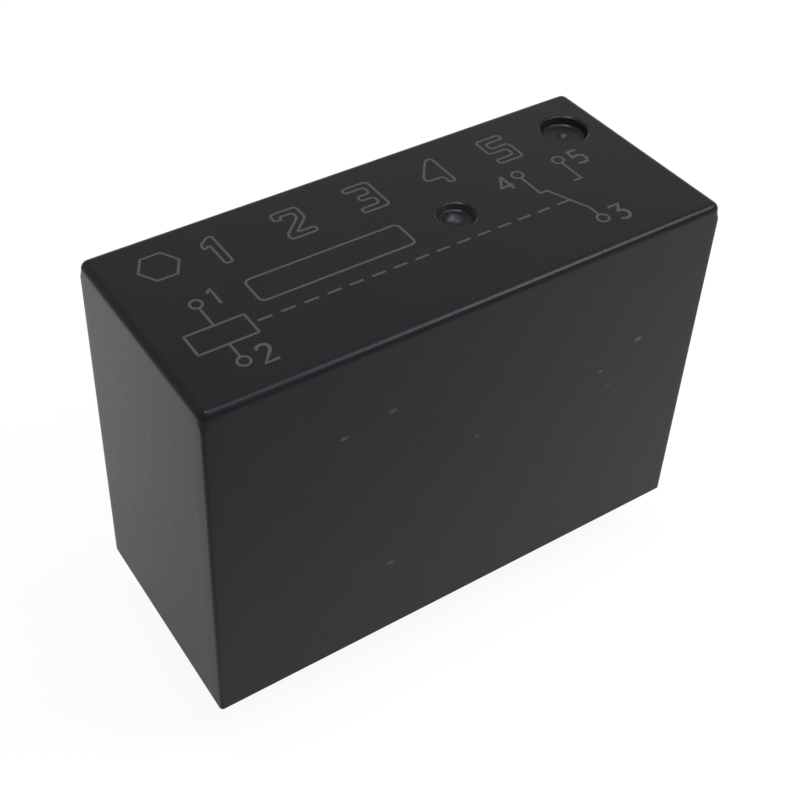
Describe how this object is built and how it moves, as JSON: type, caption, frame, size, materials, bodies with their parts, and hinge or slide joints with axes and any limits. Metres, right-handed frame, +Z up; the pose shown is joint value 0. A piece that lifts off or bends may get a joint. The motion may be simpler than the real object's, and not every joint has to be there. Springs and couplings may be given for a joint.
{
  "type": "pcb power relay",
  "caption": "Sealed box-shaped power relay for a circuit board: coil, hinged armature, sliding card and change-over contacts under a black moulded cover, with pins below.",
  "frame": {"origin": "middle of the cover's rim, on the plane of the circuit board's upper face", "axes": "+X along the cover from the armature's end to the contacts' end, +Z up out of the board"},
  "size_m": [0.0288, 0.0122, 0.0234],
  "materials": {
    "cover_plastic": "fine spark-eroded texture, black",
    "base_plastic": "plain moulded, black",
    "resin": "poured epoxy, black",
    "bobbin_plastic": "plain moulded, ivory",
    "card_plastic": "plain moulded, off-white",
    "copper_wire": "enamelled copper wire",
    "core_steel": "turned soft iron, plated",
    "plated_steel": "stamped soft iron, plated",
    "spring_bronze": "rolled spring strip",
    "tinned_wire": "tinned",
    "blade_brass": "stamped strip, tinned pins",
    "contact_silver": "silver alloy, satin",
    "rivet_brass": "upset rivets"
  },
  "bodies": {
    "housing": {"cover": "cover_plastic", "base": "base_plastic", "sealing_resin": "resin", "bobbin": "bobbin_plastic", "coil_winding": "copper_wire", "core": "core_steel", "yoke": "plated_steel", "hinge_spring": "spring_bronze", "coil_terminal_a": "tinned_wire", "coil_terminal_b": "tinned_wire", "coil_lead_a": "copper_wire", "coil_lead_b": "copper_wire", "nc_terminal": "blade_brass", "com_terminal": "blade_brass", "no_terminal": "blade_brass", "nc_contact": "contact_silver", "no_contact": "contact_silver", "moving_spring": "spring_bronze", "spring_rivets": "rivet_brass"},
    "armature": {"armature": "plated_steel"},
    "card": {"card": "card_plastic"},
    "moving_contact": {"moving_contact": "contact_silver"}
  },
  "joints": [
    {"name": "armature_hinge", "type": "hinge", "parent": "housing", "child": "armature", "pos_m": [-0.0108, 0, 0.0031], "axis": [0, 1, 0], "range_deg": [0, 4.87], "stiffness_Nm_per_rad": 0.01, "springref_deg": -11.46, "deforming": ["hinge_spring"]},
    {"name": "card_slide", "type": "slide", "parent": "housing", "child": "card", "axis": [1, 0, 0], "range_m": [0, 0.00113]},
    {"name": "contact_flex", "type": "hinge", "parent": "housing", "child": "moving_contact", "pos_m": [0.00785, 0, 0.0049], "axis": [0, 1, 0], "range_deg": [0, 5.6], "deforming": ["moving_spring"]}
  ],
  "couplings": [
    {"joint": "armature_hinge", "follows": "card_slide", "rad_per_m": 75.27},
    {"joint": "contact_flex", "follows": "card_slide", "rad_per_m": 86.671}
  ]
}
